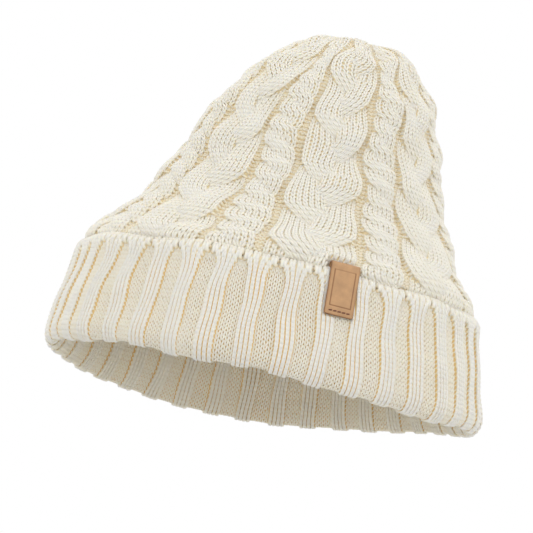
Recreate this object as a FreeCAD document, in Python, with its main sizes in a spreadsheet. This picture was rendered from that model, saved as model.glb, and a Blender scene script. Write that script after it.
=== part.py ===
import FreeCAD, Part
import Sketcher
import os

# A cable-knit beanie with a turned-up ribbed brim and a fold-over leather label, standing
# upright on its brim. Millimetres. The origin is the middle of the head opening at the height
# of the brim's lowest edge, +Z is up, the wearer's face looks along -Y and +X is at the
# viewer's right hand.
#
# One length of knitting makes the whole hat. It runs down the inside of the brim, turns under
# at the fold, runs up the outside as the cuff and ends in the cuff's edge. The cuff is turned
# down by pulling its edge: the fold drops by half of what the edge travels, and the cuff feeds
# into the fold. The crown tips over on its soft waist, where the upper dome's skirt stands
# inside the top of the lower wall.

document = FreeCAD.newDocument("beanie")
sizes = document.addObject("Spreadsheet::Sheet", "sizes")

# ---------------------------------------------------------------------------------------------
# Driving dimensions: millimetres, degrees and plain counts
# ---------------------------------------------------------------------------------------------

DIMENSIONS = [
    ("headRadius", 86.0, "inside of the brim, relaxed"),
    ("brimThickness", 3.5, "ribbed knit next to the head"),
    ("cuffThickness", 3.6, "ribbed knit of the turned-up layer"),
    ("crownThickness", 4.0, "cabled knit"),
    ("foldThickness", 3.6, "outer wall of the fold"),
    ("legThickness", 3.0, "inner wall of the fold"),
    ("floorThickness", 4.0, "knit below the fold's groove"),
    ("mouthFlare", 6.0, "how far the mouth opens out below the head radius"),
    ("layerGap", 0.7, "between the inner brim and the top of the cuff"),
    ("slideGap", 0.4, "each side of the cuff in the fold's groove"),
    ("endGap", 0.4, "between ends that meet without touching"),
    ("turnTravel", 12.0, "how far the fold drops as the cuff is turned down"),
    ("foldLap", 1.6, "how far the cuff stands in the fold"),
    ("legHeight", 20.0, "top of the fold's inner wall"),
    ("brimRound", 1.5, "rounding under the fold"),
    ("cuffHeight", 54.0, "top of the cuff's edge"),
    ("edgeHeight", 2.0, "height of the cuff's cast-on edge"),
    ("edgeRound", 0.9, "rounding of the cast-on edge"),
    ("brimHeight", 56.0, "where the ribs stop and the cables start"),
    ("crownHeight", 171.0, "top of the hat"),
    ("waistShare", 0.226, "where the lower wall ends, as a share of the crown's rise"),
    ("waistLap", 4.0, "how far the upper dome's skirt stands inside the lower wall"),
    ("nestGap", 2.0, "between the upper dome's skirt and the lower wall"),
    ("gatherRadius", 4.0, "hole that the closing yarn draws shut"),
    ("capRadius", 10.0, "flat top round the gather"),
    ("yarnRadius", 1.1, "thick yarn that closes the crown"),
    ("knotRadius", 2.6, "knot below the closing yarn"),
    ("labelAngle", 16.0, "label's place on the cuff, from the front towards +X"),
    ("labelWidth", 13.5, "across the leather strip"),
    ("labelLength", 24.0, "each leaf of the folded strip"),
    ("labelRise", 3.5, "how far the strip's fold stands above the cuff"),
    ("leatherThickness", 1.2, "strip"),
    ("labelGap", 0.15, "between the strip and the knit"),
    ("labelRound", 1.6, "outside of the strip's fold"),
    ("stitchInset", 2.0, "stitch line above the strip's lower edge"),
    ("stitchMargin", 1.6, "stitch line's ends from the strip's sides"),
    ("stitchThread", 0.35, "half the thread's thickness"),
    ("stitchCount", 5, "stitches along the line"),
    ("stitchShare", 0.72, "share of its pitch that a stitch covers"),
]

# The crown's outline: a share of its rise, a share of the brim's outer radius, and how far the
# middle of that ring leans towards +X.
LOWER_OUTLINE = [
    ("seat", 0.0, 1.0, 0.0),
    ("shoulder", 0.07, 0.978, 1.5),
    ("hip", 0.14, 0.905, 3.5),
]
UPPER_OUTLINE = [
    ("chest", 0.37, 0.735, 5.5),
    ("middle", 0.59, 0.64, 6.6),
    ("bend", 0.845, 0.455, 10.5),
    ("brow", 0.95, 0.28, 12.0),
]
CAP_LEAN = 11.5
WAIST_RADIUS_SHARE = 0.827
WAIST_LEAN = 4.7
# How far the dome's inner surface lies below its outer one, as a share of the knit's
# thickness: nothing on the steep side and nearly all of it on the flat top.
INNER_DROP = {"chest": 0.0, "middle": 0.0, "bend": 0.3, "brow": 0.8, "cap": 1.0}


def fill_sheet():
    """Write each value with its alias, and a word on what it is."""
    rows = list(DIMENSIONS)
    for name, rise, girth, lean in LOWER_OUTLINE + UPPER_OUTLINE:
        rows.append((name + "Rise", rise, "share of the crown's rise"))
        rows.append((name + "Girth", girth, "share of the brim's outer radius"))
        rows.append((name + "Lean", lean, "lean towards +X"))
    rows.append(("waistGirth", WAIST_RADIUS_SHARE, "share of the brim's outer radius"))
    rows.append(("waistLean", WAIST_LEAN, "lean towards +X"))
    rows.append(("capLean", CAP_LEAN, "lean towards +X"))
    for name, drop in INNER_DROP.items():
        rows.append((name + "Drop", drop, "inner surface's drop in thicknesses"))
    for number, (alias, value, note) in enumerate(rows, start=1):
        sizes.set("A%d" % number, alias)
        sizes.set("B%d" % number, repr(value))
        sizes.setAlias("B%d" % number, alias)
        sizes.set("C%d" % number, note)
    document.recompute()


fill_sheet()

# ---------------------------------------------------------------------------------------------
# Places worked out from the driving dimensions
# ---------------------------------------------------------------------------------------------

BRIM_OUTER = "(sizes.headRadius + sizes.brimThickness)"
MOUTH_RADIUS = "(sizes.headRadius + sizes.mouthFlare)"
LEG_OUTER = "(%s + sizes.legThickness)" % MOUTH_RADIUS
CUFF_TOP_INNER = "(%s + sizes.layerGap)" % BRIM_OUTER
CUFF_TOP_OUTER = "(%s + sizes.cuffThickness)" % CUFF_TOP_INNER
CUFF_LOW_INNER = "(%s + sizes.slideGap)" % LEG_OUTER
CUFF_LOW_OUTER = "(%s + sizes.cuffThickness)" % CUFF_LOW_INNER
GROOVE_OUTER = "(%s + sizes.slideGap)" % CUFF_LOW_OUTER
FOLD_OUTER = "(%s + sizes.foldThickness)" % GROOVE_OUTER
CUFF_LOW = "(sizes.floorThickness + sizes.turnTravel + sizes.endGap)"
CUFF_TOP = "(sizes.cuffHeight - sizes.edgeHeight)"
FOLD_TOP = "(%s + sizes.foldLap)" % CUFF_LOW
CUFF_SLOPE = "((%s - %s) / (%s - %s))" % (CUFF_LOW_OUTER, CUFF_TOP_OUTER, CUFF_TOP, CUFF_LOW)
CROWN_RISE = "(sizes.crownHeight - sizes.brimHeight)"
WAIST_HEIGHT = "(sizes.brimHeight + sizes.waistShare * %s)" % CROWN_RISE
WAIST_OUTER = "(sizes.waistGirth * %s)" % BRIM_OUTER
WAIST_INNER = "(%s - sizes.crownThickness)" % WAIST_OUTER
SKIRT_HEIGHT = "(%s - sizes.waistLap)" % WAIST_HEIGHT
SKIRT_OUTER = "(%s - sizes.nestGap)" % WAIST_INNER
GATHER_HEIGHT = "(sizes.crownHeight - sizes.crownThickness / 2)"


def value_of(expression):
    """The number that an expression over the sheet gives now."""
    return float(sizes.evalExpression(expression.replace("sizes.", "")))


def outer_ring(name):
    """Height, radius and lean of the crown's outer surface at a named place."""
    height = "(sizes.brimHeight + sizes.%sRise * %s)" % (name, CROWN_RISE)
    radius = "(sizes.%sGirth * %s)" % (name, BRIM_OUTER)
    return height, radius, "sizes.%sLean" % name


def inner_ring(name, drop="0"):
    """The same place on the crown's inner surface."""
    height, radius, lean = outer_ring(name)
    height = "(%s - %s * sizes.crownThickness)" % (height, drop)
    return height, "(%s - sizes.crownThickness)" % radius, lean


# ---------------------------------------------------------------------------------------------
# Helpers for sketches on a body's own planes
# ---------------------------------------------------------------------------------------------

def new_body(name):
    body = document.addObject("PartDesign::Body", name + "_body")
    body.Label = name
    return body


def new_sketch(body, name, role):
    sketch = body.newObject("Sketcher::SketchObject", name)
    plane = [item for item in body.Origin.OriginFeatures if item.Role == role][0]
    sketch.AttachmentSupport = [(plane, "")]
    sketch.MapMode = "FlatFace"
    return sketch


def place_point(sketch, edge, across, up):
    """Tie the start of a line to its two distances from the sketch's origin."""
    for kind, expression in (("DistanceX", across), ("DistanceY", up)):
        if expression == "0":
            axis = -2 if kind == "DistanceX" else -1
            sketch.addConstraint(Sketcher.Constraint("PointOnObject", edge, 1, axis))
            continue
        rule = Sketcher.Constraint(kind, -1, 1, edge, 1, value_of(expression))
        index = sketch.addConstraint(rule)
        sketch.setExpression("Constraints[%d]" % index, expression)


def draw_polygon(sketch, corners):
    """A closed outline through corners given as pairs of expressions."""
    points = [FreeCAD.Vector(value_of(across), value_of(up), 0) for across, up in corners]
    count = len(points)
    for index in range(count):
        line = Part.LineSegment(points[index], points[(index + 1) % count])
        sketch.addGeometry(line, False)
    for index in range(count):
        follower = (index + 1) % count
        sketch.addConstraint(Sketcher.Constraint("Coincident", index, 2, follower, 1))
    for index, (across, up) in enumerate(corners):
        place_point(sketch, index, across, up)


def turned_ring(name, corners):
    """A body turned about Z from corners given as (radius, height)."""
    body = new_body(name)
    sketch = new_sketch(body, name + "_profile", "XZ_Plane")
    draw_polygon(sketch, corners)
    ring = body.newObject("PartDesign::Revolution", name + "_turn")
    ring.Profile = sketch
    ring.ReferenceAxis = (sketch, ["V_Axis"])
    ring.Angle = 360.0
    body.Tip = ring
    document.recompute()
    return body


def circle_edges(shape, radius, height, reach=0.01):
    """Names of the round edges of a turned body at one radius and height."""
    found = []
    for number, edge in enumerate(shape.Edges, start=1):
        curve = edge.Curve
        if not isinstance(curve, Part.Circle):
            continue
        if abs(curve.Radius - radius) < reach and abs(curve.Center.z - height) < reach:
            found.append("Edge%d" % number)
    return found


def round_edges(body, name, radius, edges):
    """Fillet named edges of the body's last feature."""
    base = body.Tip
    fillet = body.newObject("PartDesign::Fillet", name)
    fillet.Base = (base, edges)
    fillet.Radius = value_of(radius)
    fillet.setExpression("Radius", radius)
    body.Tip = fillet
    document.recompute()


def ring_sketch(body, name, ring):
    """A circle at a height above the body's XY plane, leaning towards +X."""
    height, radius, lean = ring
    sketch = new_sketch(body, name, "XY_Plane")
    sketch.AttachmentOffset = FreeCAD.Placement(
        FreeCAD.Vector(0, 0, value_of(height)), FreeCAD.Rotation())
    sketch.setExpression("AttachmentOffset.Base.z", height)
    middle = FreeCAD.Vector(value_of(lean), 0, 0)
    circle = Part.Circle(middle, FreeCAD.Vector(0, 0, 1), value_of(radius))
    sketch.addGeometry(circle, False)
    index = sketch.addConstraint(Sketcher.Constraint("Radius", 0, value_of(radius)))
    sketch.setExpression("Constraints[%d]" % index, radius)
    place_centre(sketch, lean)
    return sketch


def place_centre(sketch, lean):
    """Tie a circle's middle to the X axis and to its lean."""
    sketch.addConstraint(Sketcher.Constraint("PointOnObject", 0, 3, -1))
    if value_of(lean) == 0:
        sketch.addConstraint(Sketcher.Constraint("PointOnObject", 0, 3, -2))
        return
    rule = Sketcher.Constraint("DistanceX", -1, 1, 0, 3, value_of(lean))
    index = sketch.addConstraint(rule)
    sketch.setExpression("Constraints[%d]" % index, lean)


def loft(body, name, kind, rings):
    """A smooth loft through rings, added to the body or taken from it."""
    sketches = []
    for number, ring in enumerate(rings):
        sketches.append(ring_sketch(body, "%s_ring%d" % (name, number), ring))
    feature = body.newObject("PartDesign::" + kind, name)
    feature.Profile = sketches[0]
    feature.Sections = sketches[1:]
    body.Tip = feature
    document.recompute()
    return feature


# ---------------------------------------------------------------------------------------------
# Brim and cuff
# ---------------------------------------------------------------------------------------------

def make_inner_brim():
    """Ribbed layer next to the head, from the fold up to the first cables."""
    low = "(sizes.legHeight + sizes.endGap)"
    return turned_ring("inner_brim", [
        ("sizes.headRadius", low),
        (BRIM_OUTER, low),
        (BRIM_OUTER, "sizes.brimHeight"),
        ("sizes.headRadius", "sizes.brimHeight"),
    ])


def make_brim_fold():
    """The turn at the bottom of the hat: a flared inner wall, a floor and an outer wall."""
    body = turned_ring("brim_fold", [
        (MOUTH_RADIUS, "0"),
        (FOLD_OUTER, "0"),
        (FOLD_OUTER, FOLD_TOP),
        (GROOVE_OUTER, FOLD_TOP),
        (GROOVE_OUTER, "sizes.floorThickness"),
        (LEG_OUTER, "sizes.floorThickness"),
        (BRIM_OUTER, "sizes.legHeight"),
        ("sizes.headRadius", "sizes.legHeight"),
    ])
    shape = body.Shape
    edges = circle_edges(shape, value_of(FOLD_OUTER), 0)
    edges += circle_edges(shape, value_of(MOUTH_RADIUS), 0)
    edges += circle_edges(shape, value_of(FOLD_OUTER), value_of(FOLD_TOP))
    round_edges(body, "brim_fold_round", "sizes.brimRound", edges)
    return body


def make_cuff():
    """Ribbed layer turned up outside the brim, with a slot for the label's back leaf."""
    body = turned_ring("cuff", [
        (CUFF_LOW_INNER, CUFF_LOW),
        (CUFF_LOW_OUTER, CUFF_LOW),
        (CUFF_TOP_OUTER, CUFF_TOP),
        (CUFF_TOP_INNER, CUFF_TOP),
    ])
    cut_label_slot(body, "cuff_slot")
    return body


def make_cuff_edge():
    """Cast-on edge along the top of the cuff."""
    top_outer = sloped(CUFF_TOP_OUTER, "sizes.cuffHeight")
    top_inner = sloped(CUFF_TOP_INNER, "sizes.cuffHeight")
    body = turned_ring("cuff_edge", [
        (CUFF_TOP_INNER, CUFF_TOP),
        (CUFF_TOP_OUTER, CUFF_TOP),
        (top_outer, "sizes.cuffHeight"),
        (top_inner, "sizes.cuffHeight"),
    ])
    top = value_of("sizes.cuffHeight")
    edges = circle_edges(body.Shape, value_of(top_outer), top)
    edges += circle_edges(body.Shape, value_of(top_inner), top)
    round_edges(body, "cuff_edge_round", "sizes.edgeRound", edges)
    cut_label_slot(body, "edge_slot")
    return body


# ---------------------------------------------------------------------------------------------
# Leather label, folded over the cuff
# ---------------------------------------------------------------------------------------------

LABEL_TOP = "(sizes.cuffHeight + sizes.labelRise)"
LABEL_LOW = "(%s - sizes.labelLength)" % LABEL_TOP
SLOT_DEPTH = "(sizes.leatherThickness + 2 * sizes.labelGap)"
BACK_LEAF = "(%s + sizes.labelGap)" % CUFF_TOP_INNER
FRONT_LEAF = "(%s + sizes.labelGap)" % CUFF_TOP_OUTER


def sloped(radius, height):
    """A radius given at the cuff's top, carried down along the cuff's slope."""
    return "(%s + (%s - %s) * %s)" % (radius, CUFF_TOP, height, CUFF_SLOPE)


def turn_to_label(body):
    """Turn a body made along +X to the label's place, right of the front."""
    body.Placement = FreeCAD.Placement(
        FreeCAD.Vector(0, 0, 0), FreeCAD.Rotation(FreeCAD.Vector(0, 0, 1), 1))
    body.setExpression("Placement.Rotation.Angle", "sizes.labelAngle - 90")


def cut_label_slot(body, name):
    """Take the label's back leaf, with its gaps, out of a turned body's inner face."""
    sketch = new_sketch(body, name + "_profile", "XZ_Plane")
    low = "(%s - sizes.labelGap)" % LABEL_LOW
    high = LABEL_TOP
    inner = "(%s - sizes.cuffThickness)" % CUFF_TOP_INNER
    outer = "(%s + %s)" % (CUFF_TOP_INNER, SLOT_DEPTH)
    draw_polygon(sketch, [
        (sloped(inner, low), low),
        (sloped(outer, low), low),
        (sloped(outer, high), high),
        (sloped(inner, high), high),
    ])
    solid_before = body.Tip.Shape.Volume
    slot = body.newObject("PartDesign::Pocket", name)
    slot.Profile = sketch
    slot.Midplane = True
    slot.Length = value_of("sizes.labelWidth + 2 * sizes.labelGap")
    slot.setExpression("Length", "sizes.labelWidth + 2 * sizes.labelGap")
    body.Tip = slot
    turn_to_label(body)
    document.recompute()
    if not slot.Shape.Volume < solid_before:
        raise RuntimeError(name + " cuts nothing")


def make_leather_label():
    """One strip of leather: a front leaf, a bend above the cuff and a back leaf."""
    body = new_body("leather_label")
    sketch = new_sketch(body, "leather_label_profile", "XZ_Plane")
    front_out = "(%s + sizes.leatherThickness)" % FRONT_LEAF
    back_out = "(%s + sizes.leatherThickness)" % BACK_LEAF
    under_bend = "(%s - sizes.leatherThickness)" % LABEL_TOP
    draw_polygon(sketch, [
        (sloped(FRONT_LEAF, LABEL_LOW), LABEL_LOW),
        (sloped(front_out, LABEL_LOW), LABEL_LOW),
        (sloped(front_out, LABEL_TOP), LABEL_TOP),
        (sloped(BACK_LEAF, LABEL_TOP), LABEL_TOP),
        (sloped(BACK_LEAF, LABEL_LOW), LABEL_LOW),
        (sloped(back_out, LABEL_LOW), LABEL_LOW),
        (sloped(back_out, under_bend), under_bend),
        (sloped(FRONT_LEAF, under_bend), under_bend),
    ])
    strip = body.newObject("PartDesign::Pad", "leather_label_strip")
    strip.Profile = sketch
    strip.Midplane = True
    strip.Length = value_of("sizes.labelWidth")
    strip.setExpression("Length", "sizes.labelWidth")
    body.Tip = strip
    document.recompute()
    top = value_of(LABEL_TOP)
    edges = []
    for number, edge in enumerate(strip.Shape.Edges, start=1):
        first, last = edge.Vertexes[0].Point, edge.Vertexes[-1].Point
        along = abs(first.y - last.y) > value_of("sizes.labelWidth") / 2
        if along and min(first.z, last.z) > top - 0.01:
            edges.append("Edge%d" % number)
    round_edges(body, "leather_label_bend", "sizes.labelRound", edges)
    turn_to_label(body)
    document.recompute()
    return body


def make_label_thread():
    """A row of short stitches across the front leaf, each one lying on the leather."""
    height = "(%s + sizes.stitchInset)" % LABEL_LOW
    face = sloped("(%s + sizes.leatherThickness)" % FRONT_LEAF, height)
    span = "(sizes.labelWidth - 2 * sizes.stitchMargin)"
    pitch = "(%s / sizes.stitchCount)" % span
    reach = "(%s + sizes.stitchThread + 0.1 * sizes.labelGap)" % face
    stitches = []
    for number in range(int(value_of("sizes.stitchCount"))):
        stitch = document.addObject("Part::Ellipsoid", "stitch_%d" % number)
        stitch.setExpression("Radius1", "sizes.stitchThread")
        stitch.setExpression("Radius2", "sizes.stitchThread")
        stitch.setExpression("Radius3", "%s * sizes.stitchShare / 2" % pitch)
        along = "(-%s / 2 + %s * %.1f)" % (span, pitch, number + 0.5)
        angle = "(sizes.labelAngle - 90)"
        stitch.setExpression("Placement.Rotation.Angle", angle)
        stitch.setExpression(
            "Placement.Base.x", "%s * cos(%s) - %s * sin(%s)" % (reach, angle, along, angle))
        stitch.setExpression(
            "Placement.Base.y", "%s * sin(%s) + %s * cos(%s)" % (reach, angle, along, angle))
        stitch.setExpression("Placement.Base.z", height)
        stitches.append(stitch)
    thread = document.addObject("Part::Compound", "label_thread_group")
    thread.Label = "label_thread"
    thread.Links = stitches
    document.recompute()
    return thread


# ---------------------------------------------------------------------------------------------
# Crown
# ---------------------------------------------------------------------------------------------

def make_crown_wall():
    """Lower crown, from the top of the ribs to the soft waist."""
    body = new_body("crown_wall")
    outside = [outer_ring(name) for name, _, _, _ in LOWER_OUTLINE]
    outside.append((WAIST_HEIGHT, WAIST_OUTER, "sizes.waistLean"))
    loft(body, "crown_wall_outside", "AdditiveLoft", outside)
    inside = [inner_ring(name) for name, _, _, _ in LOWER_OUTLINE]
    inside[0] = ("sizes.brimHeight", "sizes.headRadius", "sizes.seatLean")
    inside.append((WAIST_HEIGHT, WAIST_INNER, "sizes.waistLean"))
    loft(body, "crown_wall_inside", "SubtractiveLoft", inside)
    return body


def make_crown_dome():
    """Upper crown: a skirt that stands inside the lower wall, and the dome above it."""
    body = new_body("crown_dome")
    cap = ("sizes.crownHeight", "sizes.capRadius", "sizes.capLean")
    outside = [(SKIRT_HEIGHT, SKIRT_OUTER, "sizes.waistLean")]
    outside += [outer_ring(name) for name, _, _, _ in UPPER_OUTLINE]
    outside.append(cap)
    loft(body, "crown_dome_outside", "AdditiveLoft", outside)
    skirt_inner = "(%s - sizes.crownThickness)" % SKIRT_OUTER
    inside = [(SKIRT_HEIGHT, skirt_inner, "sizes.waistLean")]
    for name, _, _, _ in UPPER_OUTLINE:
        inside.append(inner_ring(name, "sizes.%sDrop" % name))
    cap_under = "(sizes.crownHeight - sizes.capDrop * sizes.crownThickness)"
    inside.append((cap_under, "(sizes.capRadius - sizes.crownThickness / 2)", "sizes.capLean"))
    loft(body, "crown_dome_inside", "SubtractiveLoft", inside)
    pierce_gather(body)
    return body


def pierce_gather(body):
    """Open the hole that the closing yarn draws together."""
    solid_before = body.Tip.Shape.Volume
    ring = ("sizes.crownHeight", "sizes.gatherRadius", "sizes.capLean")
    sketch = ring_sketch(body, "gather_ring", ring)
    hole = body.newObject("PartDesign::Pocket", "gather_hole")
    hole.Profile = sketch
    hole.Length = value_of("2 * sizes.crownThickness")
    hole.setExpression("Length", "2 * sizes.crownThickness")
    body.Tip = hole
    document.recompute()
    if not hole.Shape.Volume < solid_before:
        raise RuntimeError("the gather's hole cuts nothing")


def make_closing_yarn():
    """Ring of doubled yarn run through the last stitches and pulled tight."""
    ring = document.addObject("Part::Torus", "closing_yarn_ring")
    ring.Label = "closing_yarn"
    ring.setExpression("Radius1", "sizes.gatherRadius - sizes.yarnRadius - sizes.labelGap")
    ring.setExpression("Radius2", "sizes.yarnRadius")
    ring.setExpression("Placement.Base.x", "sizes.capLean")
    ring.setExpression("Placement.Base.z", GATHER_HEIGHT)
    return ring


def make_closing_knot():
    """Knot of the closing yarn, under the gather inside the hat."""
    knot = document.addObject("Part::Sphere", "closing_knot_ball")
    knot.Label = "closing_knot"
    knot.setExpression("Radius", "sizes.knotRadius")
    knot.setExpression("Placement.Base.x", "sizes.capLean")
    below = "%s - sizes.yarnRadius - sizes.knotRadius" % GATHER_HEIGHT
    knot.setExpression("Placement.Base.z", below)
    return knot


# ---------------------------------------------------------------------------------------------
# Build, check and write
# ---------------------------------------------------------------------------------------------

def check_document():
    """Stop at any failed object, before anything is written."""
    for item in document.Objects:
        if "Invalid" in item.State or "Error" in item.State:
            raise RuntimeError("%s failed: %s" % (item.Name, item.State))


def write_nodes(nodes):
    os.makedirs("parts", exist_ok=True)
    for node in nodes:
        shape = node.Shape
        if shape.isNull() or not shape.isValid():
            raise RuntimeError(node.Label + " has no valid shape")
        shape.exportStep(os.path.join("parts", node.Label + ".step"))
        print("%-14s %9.1f mm3, %d solids" % (node.Label, shape.Volume, len(shape.Solids)))


nodes = [
    make_inner_brim(),
    make_brim_fold(),
    make_cuff(),
    make_cuff_edge(),
    make_leather_label(),
    make_label_thread(),
    make_crown_wall(),
    make_crown_dome(),
    make_closing_yarn(),
    make_closing_knot(),
]
document.recompute()
check_document()
write_nodes(nodes)
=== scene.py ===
import math

import bpy
import numpy as np
from mathutils import Matrix, Vector


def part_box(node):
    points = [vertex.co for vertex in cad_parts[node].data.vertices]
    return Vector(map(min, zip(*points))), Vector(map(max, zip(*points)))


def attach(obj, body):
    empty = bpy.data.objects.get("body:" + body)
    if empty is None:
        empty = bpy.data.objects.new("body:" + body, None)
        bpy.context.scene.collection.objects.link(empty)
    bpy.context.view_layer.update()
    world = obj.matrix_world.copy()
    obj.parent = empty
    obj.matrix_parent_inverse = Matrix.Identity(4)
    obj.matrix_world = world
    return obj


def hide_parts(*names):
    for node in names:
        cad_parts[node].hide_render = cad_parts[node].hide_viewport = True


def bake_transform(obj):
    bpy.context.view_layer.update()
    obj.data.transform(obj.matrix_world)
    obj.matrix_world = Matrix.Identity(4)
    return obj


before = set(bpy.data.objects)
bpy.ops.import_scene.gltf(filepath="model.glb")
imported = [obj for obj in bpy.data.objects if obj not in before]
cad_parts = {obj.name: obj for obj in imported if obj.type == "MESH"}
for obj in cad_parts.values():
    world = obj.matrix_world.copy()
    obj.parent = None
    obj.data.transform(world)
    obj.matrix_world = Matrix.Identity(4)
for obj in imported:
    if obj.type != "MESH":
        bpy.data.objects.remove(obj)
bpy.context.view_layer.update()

MM = 0.001

# ---------------------------------------------------------------------------------------------
# Gauge and yarn, in millimetres. A wale is a column of stitches, a course is a row of them.
# ---------------------------------------------------------------------------------------------

COURSE = 2.07
YARN = 0.66
LOOP_SWAY = 0.215       # sideways swing of a loop, in wales
LOOP_REACH = 0.74       # half a loop's height, in courses
LOOP_DEPTH = 0.34       # how far the legs stand before the heads
SAMPLES = 10            # points along the yarn in each stitch
SIDES = 6               # sides of the yarn's tube
STITCH_UNEVEN = 0.05    # spread of the loops' heights, in courses
YARN_UNEVEN = 0.03      # spread of single yarn points, in courses or millimetres
THICK_UNEVEN = 0.02     # spread of the yarn's thickness, as a share

RIB_REPEATS = 38
RIB_KNIT = 4
RIB_PURL = 4
RIB_STAND = 0.62        # knit wales before and purl wales behind the middle of the rib
RIB_PINCH = 0.135       # how far the legs of a rib's knit stitch draw together, in wales
RIB_CORD = 0.42         # how round each knit wale of the rib stands

ARCH_LOW, ARCH_TOP = 11.5, 4.6      # purl fields close to arches, this far below the edge
RIB_CENTRE = 0.245      # middle of a rib's knit wales, as a share of the repeat

CORE_THICKNESS = 0.4
CORE_SINK = 0.45        # the cuff's and crown's cores lie behind the middle of the loops
BRIM_CORE_SINK = 0.05   # the brim is seen from both sides, so its core is at the middle

CABLE_REPEATS = 8
FIRST_CABLE = math.radians(6.0)     # first wide cable, from the front towards +X
PLAIT, ROPE, GUTTER = 0.575, 0.325, 0.05      # shares of a repeat's width
PLAIT_LENGTH = 73.5     # a strand of the wide cable comes back to its edge
ROPE_LENGTH = 18.0
PLAIT_START = 0.6       # phase of the plait at the crown's lower edge
PLAIT_SWING, PLAIT_HALF = 0.245, 0.265      # a strand's swing and half width, in plaits
PLAIT_DEPTH, PLAIT_BULGE = 1.4, 1.5         # how far strands cross over, and their rounding
ROPE_SWING, ROPE_HALF = 0.15, 0.35          # the same for the rope
ROPE_DEPTH, ROPE_BULGE = 0.8, 1.3
GUTTER_DEPTH = 1.2
CABLE_WALE = 2.2
CABLE_SCALLOP = 0.35    # how much a cable's edges follow its strands

LABEL_EDGE = 0.42       # rounding of the strip's cut edges
LABEL_CUP = 0.22        # how far the front leaf's sides curl back
FRONT_LEAF = 23.0       # length of the leaf that curls and carries the pressed line
BORDER_DEPTH = 0.16     # pressed line round the front leaf
BORDER_INSET, BORDER_WIDTH = 1.9, 0.16
BORDER_LOW, BORDER_HIGH = 4.2, 20.6
LABEL_STITCHES = 5

SEED = 7


# ---------------------------------------------------------------------------------------------
# Outlines of the hat as curves of (radius, height, lean towards +X), from the frame's nodes
# ---------------------------------------------------------------------------------------------

def corner(node, side):
    """Lowest (0) or highest (1) corner of a node, in millimetres."""
    return [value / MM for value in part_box(node)[side]]


def spline(x, y, at):
    """Natural cubic spline through (x, y), read at the given places."""
    count = len(x)
    step = np.diff(x)
    matrix = np.eye(count)
    right = np.zeros(count)
    for i in range(1, count - 1):
        matrix[i, i - 1:i + 2] = step[i - 1], 2 * (step[i - 1] + step[i]), step[i]
        right[i] = 6 * ((y[i + 1] - y[i]) / step[i] - (y[i] - y[i - 1]) / step[i - 1])
    bend = np.linalg.solve(matrix, right)
    k = np.clip(np.searchsorted(x, at) - 1, 0, count - 2)
    a, b = at - x[k], x[k + 1] - at
    span = step[k]
    low = (y[k] / span - bend[k] * span / 6) * b
    high = (y[k + 1] / span - bend[k + 1] * span / 6) * a
    return bend[k] * b ** 3 / (6 * span) + bend[k + 1] * a ** 3 / (6 * span) + low + high


def smooth_step(value, low, high):
    part = np.clip((value - low) / (high - low), 0, 1)
    return part * part * (3 - 2 * part)


class Outline:
    """A profile turned about Z: place(angle, along, out) gives points on the hat."""

    def __init__(self, stations, spacing=0.5):
        points = np.array(stations, float)
        rough = np.r_[0, np.cumsum(np.linalg.norm(np.diff(points[:, :2], axis=0), axis=1))]
        fine = np.linspace(0, rough[-1], int(rough[-1] / spacing) + 1)
        self.points = np.column_stack([spline(rough, points[:, i], fine) for i in range(3)])
        steps = np.linalg.norm(np.diff(self.points[:, :2], axis=0), axis=1)
        self.along = np.r_[0, np.cumsum(steps)]
        self.length = self.along[-1]
        slope = np.gradient(self.points[:, :2], axis=0)
        slope /= np.linalg.norm(slope, axis=1)[:, None]
        self.normal = np.column_stack([slope[:, 1], -slope[:, 0]])

    def read(self, values, along):
        return np.interp(along, self.along, values)

    def radius(self, along):
        return self.read(self.points[:, 0], along)

    def height(self, along):
        return self.read(self.points[:, 1], along)

    def place(self, angle, along, out):
        """angle is from the front towards +X; out is the distance along the normal."""
        normal_r = self.read(self.normal[:, 0], along)
        normal_z = self.read(self.normal[:, 1], along)
        radius = self.radius(along) + out * normal_r
        height = self.height(along) + out * normal_z
        lean = self.read(self.points[:, 2], along)
        sine, cosine = np.sin(angle), np.cos(angle)
        spot = np.stack([lean + radius * sine, -radius * cosine, height], axis=-1)
        facing = np.stack([normal_r * sine, -normal_r * cosine, normal_z], axis=-1)
        return spot, facing


HEAD = 86.0
BRIM_TOP = corner("inner_brim", 1)[2]
CUFF_TOP = corner("cuff_edge", 1)[2]
FOLD_OUT = corner("brim_fold", 1)[0]

RIB_OUTLINE = Outline([
    (HEAD + 1.9, BRIM_TOP - 6.0, -0.8),
    (HEAD + 2.0, 42.0, -0.6),
    (HEAD + 3.4, 28.0, -0.2),
    (HEAD + 6.8, 14.0, 0.3),
    (HEAD + 10.0, 5.8, 0.8),
    (HEAD + 12.7, 2.6, 1.0),
    (FOLD_OUT - 1.9, 5.6, 1.0),
    (FOLD_OUT - 1.7, 12.0, 0.8),
    (FOLD_OUT - 3.8, 22.0, 0.2),
    (FOLD_OUT - 6.9, 36.0, -0.4),
    (FOLD_OUT - 9.2, 47.0, -0.8),
    (FOLD_OUT - 10.3, CUFF_TOP - 2.4, -1.0),
    (FOLD_OUT - 11.4, CUFF_TOP - 0.9, -1.0),
    (FOLD_OUT - 12.8, CUFF_TOP - 1.5, -1.0),
])
FOLD_ALONG = RIB_OUTLINE.along[np.argmin(RIB_OUTLINE.points[:, 1])]

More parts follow.
